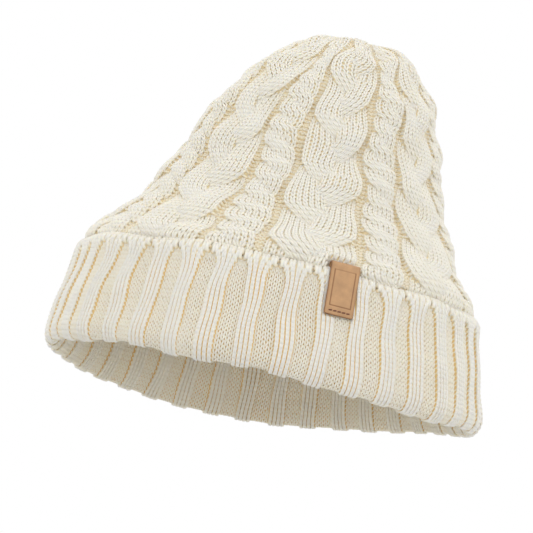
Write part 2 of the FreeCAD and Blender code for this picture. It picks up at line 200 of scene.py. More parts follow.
CROWN_OUTLINE = Outline([
    (HEAD + 1.9, BRIM_TOP - 6.0, -0.8),
    (HEAD + 2.4, BRIM_TOP - 4.0, -0.8),
    (HEAD + 4.8, 54.9, -0.6),
    (HEAD + 4.2, 57.6, -0.3),
    (HEAD + 0.4, 62.0, 0.5),
    (78.4, 71.4, 1.8),
    (71.0, 82.8, 2.8),
    (64.8, 95.4, 3.2),
    (59.8, 108.6, 3.6),
    (54.4, 124.2, 4.6),
    (47.4, 140.8, 7.0),
    (37.6, 155.8, 9.6),
    (24.4, 166.8, 11.4),
    (10.2, 171.2, 11.8),
    (5.0, 171.2, 11.6),
    (2.7, 169.6, 11.5),
])


class Wander:
    """Slow uneven waves round and up the hat, the same on every run."""

    def __init__(self, random, size, wales, rise, count=9):
        self.waves = [(random.integers(2, wales), random.normal(0, 1) / rise,
                       random.uniform(0, 2 * math.pi)) for _ in range(count)]
        self.size = size * math.sqrt(2 / count)

    def __call__(self, angle, along):
        return self.size * sum(np.sin(n * angle + 2 * math.pi * k * along + start)
                               for n, k, start in self.waves)


# ---------------------------------------------------------------------------------------------
# Leather label: where the strip's leaves are, from its node
# ---------------------------------------------------------------------------------------------

class LabelPlace:
    """The folded strip in its own plane: radius outwards, height up, width across."""

    def __init__(self, node):
        corners = np.array([vertex.co for vertex in node.data.vertices]) / MM
        middle = corners.mean(axis=0)
        self.angle = math.atan2(middle[0], -middle[1])
        away = np.array([math.sin(self.angle), -math.cos(self.angle)])
        beside = np.array([math.cos(self.angle), math.sin(self.angle)])
        radius = corners[:, :2] @ away
        across = corners[:, :2] @ beside
        height = corners[:, 2]
        self.low, self.top = height.min(), height.max()
        self.width = across.max() - across.min()
        low = radius[height < self.low + 0.5]
        high = radius[height > self.top - 3.0]
        self.back = self.line(low.min(), high.min())
        self.front = self.line(low.max(), high.max())
        inner = np.sort(np.unique(low.round(2)))
        self.thickness = inner[1] - inner[0]

    def line(self, low, high):
        return lambda z: low + (high - low) * (z - self.low) / (self.top - 1.6 - self.low)

    def nearness(self, angle, height, radius):
        """1 on knitting that the strip covers, falling to 0 just outside its edges."""
        apart = np.angle(np.exp(1j * (angle - self.angle)))
        beside = np.abs(apart) * radius - 0.5 * self.width
        below = self.low - height
        above = height - self.top - 0.6
        return 1 - smooth_step(np.maximum(np.maximum(beside, below), above), 0.2, 1.6)

    def press_cuff(self, angle, height, radius, out):
        """Keep the cuff's yarn between the leaves."""
        near = self.nearness(angle, height, radius)
        lowest = self.back(height) + self.thickness + YARN + 0.1 - radius
        highest = self.front(height) - self.thickness - YARN - 0.1 - radius
        highest = np.maximum(highest, lowest)
        return out + near * (np.clip(out, lowest, highest) - out)

    def press_crown(self, angle, height, radius, out):
        """Keep the crown's yarn behind the back leaf."""
        near = self.nearness(angle, height, radius)
        highest = self.back(height) - YARN - 0.15 - radius
        return out + near * (np.minimum(out, highest) - out)


label_place = LabelPlace(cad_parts["leather_label"])


# ---------------------------------------------------------------------------------------------
# Yarn tubes
# ---------------------------------------------------------------------------------------------

def quad_mesh(name, verts, faces, shade_and_wear, u, v):
    """A smooth mesh object of quads with a bake map and an attribute that carries painted shade
    and highlight on the yarn and wear on the leather.
    """
    mesh = bpy.data.meshes.new(name)
    mesh.vertices.add(len(verts))
    mesh.vertices.foreach_set("co", (verts * MM).astype(np.float32).ravel())
    mesh.loops.add(faces.size)
    mesh.loops.foreach_set("vertex_index", faces.astype(np.int32).ravel())
    mesh.polygons.add(len(faces))
    mesh.polygons.foreach_set("loop_start", np.arange(len(faces), dtype=np.int32) * 4)
    mesh.polygons.foreach_set("use_smooth", np.ones(len(faces), bool))
    mesh.update(calc_edges=True)
    layer = mesh.attributes.new("shade_and_wear", "FLOAT", "POINT")
    layer.data.foreach_set("value", shade_and_wear.astype(np.float32))
    uv = mesh.uv_layers.new(name="OFBake")
    uv.data.foreach_set("uv", np.column_stack([u, v]).astype(np.float32).ravel())
    piece = bpy.data.objects.new(name, mesh)
    bpy.context.scene.collection.objects.link(piece)
    return piece


class YarnMesh:
    """Collects rings and lengths of yarn and turns them into one mesh of tubes."""

    def __init__(self, sides=SIDES):
        self.sides = sides
        self.lengths = []

    def add(self, spots, facings, radius, shade_and_wear, closed=True):
        self.lengths.append((spots, facings, radius, shade_and_wear, closed))

    def build(self, name):
        verts, faces, shade_and_wear, across, around = [], [], [], [], []
        start = 0
        sides = self.sides
        side = np.arange(sides)
        turn = side * 2 * math.pi / sides
        # The fourth entry of each length, called height here, is its painted shade and highlight
        # value.
        for row, (spots, facings, radius, height, closed) in enumerate(self.lengths):
            count = len(spots)
            ahead = np.roll(spots, -1, axis=0) - np.roll(spots, 1, axis=0)
            if not closed:
                ahead[0], ahead[-1] = spots[1] - spots[0], spots[-1] - spots[-2]
            ahead /= np.linalg.norm(ahead, axis=1)[:, None] + 1e-12
            beside = np.cross(ahead, facings)
            beside /= np.linalg.norm(beside, axis=1)[:, None] + 1e-12
            upright = np.cross(beside, ahead)
            swing = (upright[:, None, :] * np.cos(turn)[None, :, None]
                     + beside[:, None, :] * np.sin(turn)[None, :, None])
            tube = spots[:, None, :] + swing * radius[:, None, None]
            verts.append(tube.reshape(-1, 3))
            # Painted highlight on the side of each tube that faces out of the fabric, painted
            # shade on its back.
            shade_and_wear.append((height[:, None] + 0.3 * np.cos(turn)[None, :]).reshape(-1))
            here = np.arange(count if closed else count - 1)
            there = (here + 1) % count
            after = (side + 1) % sides
            quad = np.stack([
                here[:, None] * sides + side[None, :],
                here[:, None] * sides + after[None, :],
                there[:, None] * sides + after[None, :],
                there[:, None] * sides + side[None, :],
            ], axis=-1).reshape(-1, 4)
            u = np.stack([here, here, here + 1, here + 1], axis=-1) / count
            v = np.stack([side, side + 1, side + 1, side], axis=-1) / sides
            u = np.repeat(u, sides, axis=0)
            v = np.tile(v, (len(here), 1))
            if not closed:
                ends = self.end_quads(count)
                quad = np.concatenate([quad, ends])
                u = np.concatenate([u, np.zeros(ends.shape)])
                v = np.concatenate([v, np.zeros(ends.shape)])
            faces.append(quad + start)
            across.append(u.ravel())
            around.append(((row + 0.05 + 0.9 * v) / len(self.lengths)).ravel())
            start += count * sides
        return quad_mesh(name, np.concatenate(verts), np.concatenate(faces),
                         np.concatenate(shade_and_wear), np.concatenate(across),
                         np.concatenate(around))

    def end_quads(self, count):
        """Quads that close the two ends of a tube with an even number of sides."""
        pairs = np.arange(self.sides // 2 - 1)
        first = np.stack([0 * pairs, 2 * pairs + 3, 2 * pairs + 2, 2 * pairs + 1], axis=-1)
        last = first[:, ::-1] + (count - 1) * self.sides
        return np.concatenate([first, last])


def stitch_phase(wales):
    """Phase of each yarn point in its loop, from -pi to pi, and its wale's number."""
    phase = -math.pi + 2 * math.pi * (np.arange(SAMPLES) + 0.5) / SAMPLES
    return np.tile(phase, wales), np.repeat(np.arange(wales), SAMPLES)


def loop_height(random, wales, number):
    """How far each yarn point is above its place, in courses."""
    return (random.normal(0, STITCH_UNEVEN, wales)[number]
            + random.normal(0, YARN_UNEVEN, len(number)))


def soft_sign(face, phase, number):
    """+1 on knit wales and -1 on purl ones, changing over smoothly between them."""
    before = face[(number - 1) % len(face)]
    after = face[(number + 1) % len(face)]
    own = face[number]
    edge = np.clip((np.abs(phase) / math.pi - 0.6) / 0.4, 0, 1) ** 2
    other = np.where(phase < 0, before, after)
    return own + (other - own) * 0.5 * edge


def shell(name, outline, alongs, angles, outs, shade_and_wear):
    """A thin closed turned sheet: outs[row, column] is its middle along the normal.

    Its front is painted with the shade seen between the loops; its back is the pale wrong side.
    """
    rows, columns = outs.shape
    layers = []
    for half in (0.5, -0.5):
        spots, _ = outline.place(angles.ravel(), np.repeat(alongs, columns),
                                 outs.ravel() + half * CORE_THICKNESS)
        layers.append(hem_warp(spots) if outline is RIB_OUTLINE else spots)
    index = np.arange(rows * columns).reshape(rows, columns)
    beside = np.roll(index, -1, axis=1)
    outer = np.stack([index[:-1], beside[:-1], beside[1:], index[1:]], axis=-1)
    outer = outer.reshape(-1, 4)
    inner = outer[:, ::-1] + rows * columns
    low = np.stack([index[0], index[0] + rows * columns,
                    beside[0] + rows * columns, beside[0]], axis=-1)
    high = np.stack([index[-1], beside[-1], beside[-1] + rows * columns,
                     index[-1] + rows * columns], axis=-1)
    faces = np.concatenate([outer, inner, low, high])
    place = np.arange(2 * rows * columns)
    u = (place % columns) / columns
    v = (place // columns) / (2 * rows)
    front = np.repeat(np.broadcast_to(shade_and_wear, rows), columns)
    return quad_mesh(name, np.concatenate(layers), faces,
                     np.concatenate([front, np.full(rows * columns, 0.35)]),
                     u[faces].ravel(), v[faces].ravel())


# ---------------------------------------------------------------------------------------------
# Ribbed brim: one tube of knitting, down the inside, round the fold and up as the cuff
# ---------------------------------------------------------------------------------------------

def rib_shares(along):
    """Edges of the wales inside one repeat at one course, from 0 to 1."""
    close = np.clip((along - (RIB_OUTLINE.length - ARCH_LOW)) / (ARCH_LOW - ARCH_TOP), 0, 1)
    purl = max(0.03, (1 - close) ** 0.55)
    widths = np.array([0.98] * RIB_KNIT + [1.02 * purl] * RIB_PURL)
    widths /= widths.sum()
    edges = np.r_[0, np.cumsum(widths)]
    return edges + RIB_CENTRE - 0.5 * edges[RIB_KNIT]


def rib_stand(along):
    """How far knit wales stand before the middle, and purl ones behind it."""
    at_fold = math.exp(-((along - FOLD_ALONG) / 9.0) ** 2)
    at_edge = smooth_step(along, RIB_OUTLINE.length - 5.0, RIB_OUTLINE.length - 1.0)
    return RIB_STAND * (1 - 0.55 * at_fold) * (1 - 0.7 * at_edge)


def rib_turn(along):
    """The ribs lean a little as they rise."""
    return math.radians(1.0) * along / RIB_OUTLINE.length


def hem_warp(spots):
    """The soft hem isn't flat: it twists a little and hangs lower at the back."""
    angle = np.arctan2(spots[:, 0], -spots[:, 1])
    share = np.clip(1 - spots[:, 2] / CUFF_TOP, 0, 1.1)
    front = 1 + np.cos(angle)
    back = 1 - np.cos(angle)
    drop = (2.3 - 0.7 * np.cos(angle)) * np.sin(2 * angle + 0.5) - 0.3 * front
    drop = drop + back * (0.7 + 1.2 * np.cos(2 * angle - 0.35))
    spots[:, 2] -= share * drop
    return spots


def rib_course(along, mesh, random, sway, swell):
    """One course of the rib, as a closed ring of yarn."""
    unit = RIB_KNIT + RIB_PURL
    wales = RIB_REPEATS * unit
    face = np.array(([1.0] * RIB_KNIT + [-1.0] * RIB_PURL) * RIB_REPEATS)
    phase, number = stitch_phase(wales)
    sign = soft_sign(face, phase, number)
    knit = 0.5 + 0.5 * sign
    within = number % unit
    shares = rib_shares(along)
    step = phase / (2 * math.pi) + LOOP_SWAY * (1.08 - 0.6 * knit) * np.sin(2 * phase)
    plain = 1 - 0.75 * smooth_step(along, RIB_OUTLINE.length - 4.5, RIB_OUTLINE.length - 2.0)
    step = step - RIB_PINCH * plain * knit * np.sin(phase)
    low, high = shares[within], shares[within + 1]
    across = (number // unit + low + (high - low) * (0.5 + step)) / RIB_REPEATS
    angle = 2 * math.pi * across
    uneven = loop_height(random, wales, number)
    up = np.clip(along + COURSE * (LOOP_REACH * np.cos(phase) + uneven),
                 0, RIB_OUTLINE.length)
    cord = RIB_CORD * plain * np.cos(2 * math.pi * step) * knit
    loop = -LOOP_DEPTH * np.cos(2 * phase)
    out = sign * rib_stand(along) + cord + loop
    out = out + random.normal(0, YARN_UNEVEN, len(phase))
    out = out - 0.4 * (1 - knit) * smooth_step(along, RIB_OUTLINE.length - 6.0,
                                               RIB_OUTLINE.length - ARCH_TOP)
    radius = RIB_OUTLINE.radius(up)
    angle = angle + sway(angle, up) / radius + rib_turn(along)
    out = out + swell(angle, up)
    if along > FOLD_ALONG:
        out = label_place.press_cuff(angle, RIB_OUTLINE.height(up), radius, out)
    spots, facings = RIB_OUTLINE.place(angle, up, out)
    spots = hem_warp(spots)
    spread = np.clip((high - low) * (RIB_KNIT + RIB_PURL), 0.7, 2.0)
    thick = YARN * (0.69 + 0.23 * knit) * spread ** 0.75
    thick = thick * (1 + random.normal(0, THICK_UNEVEN, len(phase)))
    # Painted shade and highlight: raised yarn is painted lighter, sunken yarn and purl wales
    # darker; on the brim, which is seen from both sides, loops are painted pale on both faces.
    shade_and_wear = 1.25 * (cord + loop) - 0.10 - 0.16 * (1 - knit)
    if along < FOLD_ALONG:
        shade_and_wear = 0.8 * np.abs(cord + loop) + 0.15
    mesh.add(spots, facings, thick, shade_and_wear)


def make_ribs(random, sway, swell):
    """Four rings of courses: two inside the fold and two outside it."""
    ends = [0.8, 0.5 * FOLD_ALONG, FOLD_ALONG, 0.5 * (FOLD_ALONG + RIB_OUTLINE.length),
            RIB_OUTLINE.length - 0.8]
    names = ["brim_rib_upper", "brim_rib_lower", "cuff_rib_lower", "cuff_rib_upper"]
    courses = np.arange(ends[0], ends[-1], COURSE)
    pieces = []
    for name, low, high in zip(names, ends, ends[1:]):
        mesh = YarnMesh()
        for along in courses[(courses >= low) & (courses < high)]:
            rib_course(along, mesh, random, sway, swell)
        pieces.append(mesh.build(name))
    return pieces


def make_rib_core(name, first, last, sway, swell, sink, shade_and_wear):
    """The middle of the ribbed fabric, which shows between its loops, painted with shade."""
    unit = RIB_KNIT + RIB_PURL
    fine = 4
    column = (np.arange(RIB_REPEATS * unit * fine) + 0.5) / fine
    place = column % unit
    knit = smooth_step(np.minimum(place, RIB_KNIT - place), -0.6, 0.4)
    alongs = np.linspace(first, last, int((last - first) / 2.0) + 1)
    angles, outs = [], []
    for along in alongs:
        within = np.interp(place, np.arange(unit + 1), rib_shares(along))
        angle = 2 * math.pi * (column // unit + within) / RIB_REPEATS
        radius = RIB_OUTLINE.radius(along)
        angle = angle + sway(angle, along) / radius + rib_turn(along)
        out = (2 * knit - 1) * rib_stand(along) + swell(angle, along)
        out = out - sink * (1 - 1.4 * knit)
        if along > FOLD_ALONG:
            out = label_place.press_cuff(angle, RIB_OUTLINE.height(along), radius, out)
        angles.append(angle)
        outs.append(out)
    # Less painted shade on the core near the cuff's edge, where the purl fields close.
    edge = smooth_step(alongs, RIB_OUTLINE.length - ARCH_LOW, RIB_OUTLINE.length - ARCH_TOP)
    return shell(name, RIB_OUTLINE, alongs, np.array(angles), np.array(outs),
                 shade_and_wear + 0.55 * edge)


# ---------------------------------------------------------------------------------------------
# Cabled crown: in each repeat a plait of three strands, a gutter, a rope of two, a gutter
# ---------------------------------------------------------------------------------------------

def dwelling(wave, hold):
    """A wave that stays longer near -1 and 1 and crosses the middle faster."""
    return np.tanh(hold * wave) / math.tanh(hold)


def round_off(u):
    """Height of a strand's round section, from its middle (0) to its edges (-1 and 1)."""
    return np.sqrt(np.clip(1 - 0.85 * u * u, 0, 1))


def strand_paths(along, calm):
    """(middle, half width, depth, bulge) of each strand: shares of a repeat, millimetres."""
    plait = []
    turn = -2 * math.pi * along / PLAIT_LENGTH
    for i in range(3):
        theta = turn + 2 * math.pi * i / 3 + PLAIT_START
        middle = (0.5 + PLAIT_SWING * dwelling(np.sin(theta), 1.5)) * PLAIT
        plait.append((middle, PLAIT_HALF * PLAIT, -PLAIT_DEPTH * calm * np.sin(2 * theta),
                      PLAIT_BULGE * calm))
    rope = []
    start = PLAIT + GUTTER
    turn = -2 * math.pi * along / ROPE_LENGTH
    for i in range(2):
        psi = turn + math.pi * i
        middle = start + (0.5 - ROPE_SWING * dwelling(np.cos(psi), 1.3)) * ROPE
        rope.append((middle, ROPE_HALF * ROPE, ROPE_DEPTH * calm * np.sin(psi),
                     ROPE_BULGE * calm))
    return filled(plait, 0.0, PLAIT) + filled(rope, start, start + ROPE)


def cable_edges(strands):
    """Where the outermost strands of a cable start and end."""
    low = np.min([middle - half for middle, half, _, _ in strands], axis=0)
    high = np.max([middle + half for middle, half, _, _ in strands], axis=0)
    return low, high


def filled(strands, start, end):
    """The strands stretched sideways so that the cable nearly fills its width."""
    low, high = cable_edges(strands)
    new_low = start + CABLE_SCALLOP * (low - start)
    new_high = end + CABLE_SCALLOP * (high - end)
    scale = (new_high - new_low) / (high - low)
    return [(new_low + (middle - low) * scale, half * scale, depth, bulge)
            for middle, half, depth, bulge in strands]


def gutter_span(strand, paths):
    """Where a gutter starts and ends: it fills what the cables beside it leave."""
    plait_low, plait_high = cable_edges(paths[:3])
    rope_low, rope_high = cable_edges(paths[3:])
    return (plait_high, rope_low) if strand == -1 else (rope_high, 1 + plait_low)


def crown_calm(along, width):
    """How much of the cables' relief there is: less under the cuff and at the gather."""
    return smooth_step(along, -2.0, 11.0) * np.clip(width / 42.0, 0.22, 1.0)


def crown_fade(along, radius):
    """The slow waves fade out at the cuff and at the gather."""
    return smooth_step(along, 0.0, 16.0) * smooth_step(radius, 4.0, 30.0)


def crown_course(along, mesh, random, sway, swell):
    """One course of the crown, as a closed ring of yarn."""
    width = 2 * math.pi * float(CROWN_OUTLINE.radius(along)) / CABLE_REPEATS
    paths = strand_paths(along, 1.0)
    middles = [float(path[0]) for path in paths]
    plait = sorted(range(3), key=lambda i: middles[i])
    rope = sorted(range(3, 5), key=lambda i: middles[i])
    plait_wales = int(np.clip(round(0.50 * PLAIT * width / CABLE_WALE), 1, 7))
    rope_wales = int(np.clip(round(0.66 * ROPE * width / CABLE_WALE), 1, 5))
    gutter_wales = 2 if width > 26 else 1
    order = plait + [-1] + rope + [-2]
    counts = np.array([plait_wales] * 3 + [gutter_wales] + [rope_wales] * 2 + [gutter_wales])
    unit = int(counts.sum())
    wales = unit * CABLE_REPEATS
    phase, number = stitch_phase(wales)
    within = number % unit
    band = np.repeat(np.arange(len(counts)), counts)[within]
    first = np.r_[0, np.cumsum(counts)][band]
    face = np.where((band == 3) | (band == 6), -1.0, 1.0)[::SAMPLES]
    sign = soft_sign(face, phase, number)
    knit = 0.5 + 0.5 * sign
    step = phase / (2 * math.pi) + LOOP_SWAY * np.sin(2 * phase) - 0.05 * knit * np.sin(phase)
    uneven = loop_height(random, wales, number)
    up = np.clip(along + COURSE * (LOOP_REACH * np.cos(phase) + uneven),
                 0, CROWN_OUTLINE.length)
    local = 2 * math.pi * CROWN_OUTLINE.radius(up) / CABLE_REPEATS
    calm = crown_calm(up, local)
    paths = strand_paths(up, calm)
    share = 2 * (within - first + 0.5 + step) / counts[band] - 1
    across = np.zeros(len(up))
    base = np.zeros(len(up))
    # Painted shade: deep in the gutters, darker towards each strand's edges, lighter where a
    # strand crosses over.
    shade = np.zeros(len(up))
    for place, strand in enumerate(order):
        pick = band == place
        if strand < 0:
            start, end = gutter_span(strand, paths)
            across[pick] = (start + 0.5 * (end - start) * (1 + share))[pick]
            base[pick] = -GUTTER_DEPTH * calm[pick]
            shade[pick] = -0.75
            continue
        middle, half, depth, bulge = paths[strand]
        u = share[pick]
        across[pick] = middle[pick] + half[pick] * u
        base[pick] = depth[pick] + bulge[pick] * (round_off(u) - 0.45)
        shade[pick] = -0.35 * (1 - round_off(u)) + 0.06 * depth[pick]
    wale = 2 * math.pi * CROWN_OUTLINE.radius(up) / wales
    scale = np.clip(wale / 1.9, 0.4, 1.0)
    cord = 0.20 * np.cos(2 * math.pi * step) * knit
    loop = -sign * LOOP_DEPTH * np.cos(2 * phase)
    out = base + (cord + loop) * scale + random.normal(0, YARN_UNEVEN, len(phase))
    repeat = number // unit
    angle = FIRST_CABLE + 2 * math.pi * (repeat + across - 0.5 * PLAIT) / CABLE_REPEATS
    radius = CROWN_OUTLINE.radius(up)
    fade = crown_fade(up, radius)
    angle = angle + fade * sway(angle, up) / np.maximum(radius, 8.0)
    out = out + fade * swell(angle, up)
    out = label_place.press_crown(angle, CROWN_OUTLINE.height(up), radius, out)
    spots, facings = CROWN_OUTLINE.place(angle, up, out)
    thick = 1.08 * YARN * scale * (1.0 + 0.06 * (1 - knit))
    # Painted shade and highlight of each point, from the loops' depth and the painted shade
    # above.
    mesh.add(spots, facings, thick, 0.6 * (cord + loop) + 0.8 * shade + 0.1)


def make_crown(random, sway, swell):
    """Six rings of courses, from under the cuff to the gathered top."""
    courses = np.arange(0.6, CROWN_OUTLINE.length - 0.6, COURSE)
    pieces = []
    for number, part in enumerate(np.array_split(courses, 6)):
        mesh = YarnMesh()
        for along in part:
            crown_course(along, mesh, random, sway, swell)
        pieces.append(mesh.build("crown_knit_%d" % (number + 1)))
    return pieces


def make_crown_core(sway, swell):
    """The middle of the cabled fabric, which shows between its loops, painted with shade."""
    columns = CABLE_REPEATS * 72
    turn = (np.arange(columns) + 0.5) / columns * CABLE_REPEATS
    place = turn % 1.0
    alongs = np.arange(0.0, CROWN_OUTLINE.length, 1.5)
    angles, outs = [], []
    for along in alongs:
        radius = float(CROWN_OUTLINE.radius(along))
        calm = crown_calm(along, 2 * math.pi * radius / CABLE_REPEATS)
        paths = strand_paths(along, calm)
        top = np.full(columns, -GUTTER_DEPTH * calm)
        for middle, half, depth, bulge in paths:
            u = (place - middle) / half
            lift = depth + bulge * (round_off(u) - 0.45)
            top = np.where(np.abs(u) < 1, np.maximum(top, lift), top)
        fade = crown_fade(along, radius)
        angle = FIRST_CABLE + 2 * math.pi * (turn - 0.5 * PLAIT) / CABLE_REPEATS
        angle = angle + fade * sway(angle, along) / max(radius, 8.0)
        out = top - CORE_SINK + fade * swell(angle, along)
        height = CROWN_OUTLINE.height(along)
        angles.append(angle)
        outs.append(label_place.press_crown(angle, height, radius, out))
    return shell("crown_core", CROWN_OUTLINE, alongs, np.array(angles), np.array(outs), -0.4)


# ---------------------------------------------------------------------------------------------
# Leather label and its stitches
# ---------------------------------------------------------------------------------------------

def label_point(radius, across, height):
    sine, cosine = math.sin(label_place.angle), math.cos(label_place.angle)
    return np.stack([radius * sine + across * cosine, -radius * cosine + across * sine,
                     height], axis=-1)


def label_path():
    """Middle line of the folded strip: up the front leaf, over the bend, down the back."""
    half = 0.5 * label_place.thickness
    low, top = label_place.low, label_place.top
    front, back = label_place.front, label_place.back
    bend = 0.5 * (front(top - 1.6) - half - back(top - 1.6) - half)
    centre = 0.5 * (front(top - 1.6) + back(top - 1.6))
    knee = top - half - bend
    line = [(front(z) - half, z) for z in np.linspace(low, knee, 48)]
    line += [(centre + bend * math.cos(a), knee + bend * math.sin(a))
             for a in np.linspace(0, math.pi, 14)[1:-1]]
    line += [(back(z) + half, z) for z in np.linspace(knee, low, 24)]
    return np.array(line)


def make_label():
    """The strip: a rounded section swept along its path, a little cupped and worn."""
    path = label_path()
    count = len(path)
    slope = np.gradient(path, axis=0)
    slope /= np.linalg.norm(slope, axis=1)[:, None]
    normal = np.column_stack([slope[:, 1], -slope[:, 0]])
    half_width = 0.5 * label_place.width
    half = 0.5 * label_place.thickness
    flat = np.linspace(-half_width + LABEL_EDGE, half_width - LABEL_EDGE, 27)
    right = [(half_width - LABEL_EDGE * (1 - math.sin(a)), half - LABEL_EDGE * (1 - math.cos(a)))
             for a in np.linspace(0, math.pi / 2, 5)[1:]]
    down = [(x, -y) for x, y in reversed(right)]
    left = [(-x, y) for x, y in right]
    section = np.array([(x, half) for x in flat] + right + down
                       + [(x, -half) for x in flat[::-1]] + [(x, -y) for x, y in left]
                       + left[::-1])
    around = len(section)
    along = np.r_[0, np.cumsum(np.linalg.norm(np.diff(path, axis=0), axis=1))]
    x, y = section[:, 0], section[:, 1]
    verts, worn = [], []
    for row in range(count):
        on_front = along[row] < FRONT_LEAF
        tip = min(along[row], along[-1] - along[row])
        shrink = 1 - 0.30 * max(0.0, 1 - tip / LABEL_EDGE) ** 2
        cup = LABEL_CUP * (x / half_width) ** 2 * on_front
        pressed = border_press(x, along[row], half_width) * (y > 0) * on_front
        rise = y * shrink - cup - pressed
        spot = path[row][None, :] + rise[:, None] * normal[row][None, :]
        verts.append(label_point(spot[:, 0], x * (0.5 + 0.5 * shrink), spot[:, 1]))
        near_edge = np.exp(-np.minimum(half_width - np.abs(x), tip) / 0.35)
        worn.append(1 - near_edge - 1.2 * pressed / BORDER_DEPTH)
    index = np.arange(count * around).reshape(count, around)
    beside = np.roll(index, -1, axis=1)
    faces = np.stack([index[:-1], beside[:-1], beside[1:], index[1:]], axis=-1)
    faces = faces.reshape(-1, 4)
    caps = []
    for ring, flip in ((index[0], True), (index[-1], False)):
        for k in range(around // 2 - 1):
            quad = [ring[k], ring[k + 1], ring[around - 2 - k], ring[around - 1 - k]]
            caps.append(quad if flip else quad[::-1])
    faces = np.concatenate([faces, np.array(caps)])
    flat_index = faces.ravel()
    u = (flat_index % around) / around
    v = (flat_index // around) / count
    return quad_mesh("leather_strip", np.concatenate(verts), faces[:, ::-1],
                     np.concatenate(worn), u, v)


def border_press(x, along, half_width):
    """A plain pressed line round the front leaf."""
    across = half_width - BORDER_INSET - np.abs(x)
    low, high = along - BORDER_LOW, BORDER_HIGH - along
    apart = np.minimum(np.minimum(across, low), high)
    inside = np.minimum(low, high) > -0.4
    return BORDER_DEPTH * np.exp(-(apart / BORDER_WIDTH) ** 2) * inside


def make_label_stitches(node):
    """Short two-ply stitches across the front leaf, where the node has them."""
    corners = np.array([vertex.co for vertex in node.data.vertices]) / MM
    beside = np.array([math.cos(label_place.angle), math.sin(label_place.angle)])
    across = corners[:, :2] @ beside
    height = corners[:, 2].mean()
    pitch = (across.max() - across.min()) / (LABEL_STITCHES - 0.28)
    first = across.min() + 0.36 * pitch
    mesh = YarnMesh(8)
    for number in range(LABEL_STITCHES):
        middle = first + number * pitch
        for ply in (0, 1):
            t = np.linspace(-1, 1, 22)
            twist = 5.0 * t + math.pi * ply
            x = middle + 0.43 * pitch * t
            dive = 0.42 * smooth_step(np.abs(t), 0.62, 1.0)
            rise = 0.13 * np.cos(twist) + 0.22 - 1.6 * dive
            z = height + 0.13 * np.sin(twist) + 0.12 * t
            cup = LABEL_CUP * (x / (0.5 * label_place.width)) ** 2
            radius = label_place.front(z) + rise - cup
            spots = label_point(radius, x, z)
            facing = np.tile([math.sin(label_place.angle), -math.cos(label_place.angle), 0],
                             (len(t), 1))
            thick = 0.17 * np.sqrt(np.clip(1.02 - t ** 8, 0.02, 1))
            # Each ply is painted lighter where it stands out and with shade where it sinks.
            mesh.add(spots, facing, thick, np.cos(twist), closed=False)
    return mesh.build("label_stitches")


# ---------------------------------------------------------------------------------------------
# Closing yarn and knot at the crown's top
# ---------------------------------------------------------------------------------------------

def make_closing_yarn(low, high):
    """Two plies drawn through the last loops, in a slightly uneven ring."""
    middle = 0.5 * (np.array(low) + np.array(high))
    ring = 0.5 * (high[0] - low[0]) - 1.0
    mesh = YarnMesh(8)
    t = np.linspace(0, 2 * math.pi, 240, endpoint=False)
    for ply in (0, 1):
        twist = 11 * t + math.pi * ply
        radius = ring + 0.25 * np.sin(3 * t) + 0.42 * np.cos(twist)
        height = middle[2] + 0.2 * np.sin(2 * t + 1) + 0.42 * np.sin(twist)
        spots = np.column_stack([middle[0] + radius * np.cos(t),
                                 middle[1] + radius * np.sin(t), height])
        facing = np.tile([0.0, 0.0, 1.0], (len(t), 1))
        # Each ply is painted lighter where it rises and with shade where it dips.
        mesh.add(spots, facing, np.full(len(t), 0.55), 0.4 * np.sin(twist))
    return mesh.build("gather_yarn")


def make_closing_knot(low, high):
    """An overhand knot of the same yarn, pulled tight under the gather."""
    middle = 0.5 * (np.array(low) + np.array(high))
    size = 0.5 * (high[0] - low[0])
    mesh = YarnMesh(8)
    t = np.linspace(0, 2 * math.pi, 260, endpoint=False)
    for ply in (0, 1):
        twist = 13 * t + math.pi * ply
        wide = np.sin(t) + 2 * np.sin(2 * t)
        deep = np.cos(t) - 2 * np.cos(2 * t)
        tall = -np.sin(3 * t)
        scale = (size - 0.9) / 3.0
        spots = np.column_stack([middle[0] + scale * wide + 0.28 * np.cos(twist),
                                 middle[1] + scale * deep + 0.28 * np.sin(twist),
                                 middle[2] + 1.3 * tall])
        facing = np.tile([0.0, 0.0, 1.0], (len(t), 1))
        # Each ply is painted lighter on one side of its twist and with shade on the other.
        mesh.add(spots, facing, np.full(len(t), 0.42), 0.3 * np.sin(twist))
    return mesh.build("gather_knot")


# ---------------------------------------------------------------------------------------------
# Materials
# ---------------------------------------------------------------------------------------------

def new_material(name):
    material = bpy.data.materials.new(name)
    material.use_nodes = True
    tree = material.node_tree
    return material, tree, tree.nodes["Principled BSDF"]


def noise_node(tree, scale, detail=3.0):
    place = tree.nodes.new("ShaderNodeTexCoord")
    noise = tree.nodes.new("ShaderNodeTexNoise")
    noise.inputs["Scale"].default_value = scale
    noise.inputs["Detail"].default_value = detail
    tree.links.new(place.outputs["Object"], noise.inputs["Vector"])
    return noise


def shade_and_wear_ramp(tree, stops):
    """A colour ramp over the attribute of painted shade and highlight on the yarn and wear on
    the leather, from -1 to 1.
    """
    shade_and_wear = tree.nodes.new("ShaderNodeAttribute")
    shade_and_wear.attribute_name = "shade_and_wear"
    spread = tree.nodes.new("ShaderNodeMapRange")
    spread.inputs["From Min"].default_value = -1.0
    spread.inputs["From Max"].default_value = 1.0
    ramp = tree.nodes.new("ShaderNodeValToRGB")
    ramp.color_ramp.elements[0].position = stops[0][0]
    ramp.color_ramp.elements[0].color = stops[0][1]
    ramp.color_ramp.elements[1].position = stops[-1][0]
    ramp.color_ramp.elements[1].color = stops[-1][1]
    for position, color in stops[1:-1]:
        ramp.color_ramp.elements.new(position).color = color
    tree.links.new(shade_and_wear.outputs["Fac"], spread.inputs["Value"])
    tree.links.new(spread.outputs["Result"], ramp.inputs["Fac"])
    return ramp


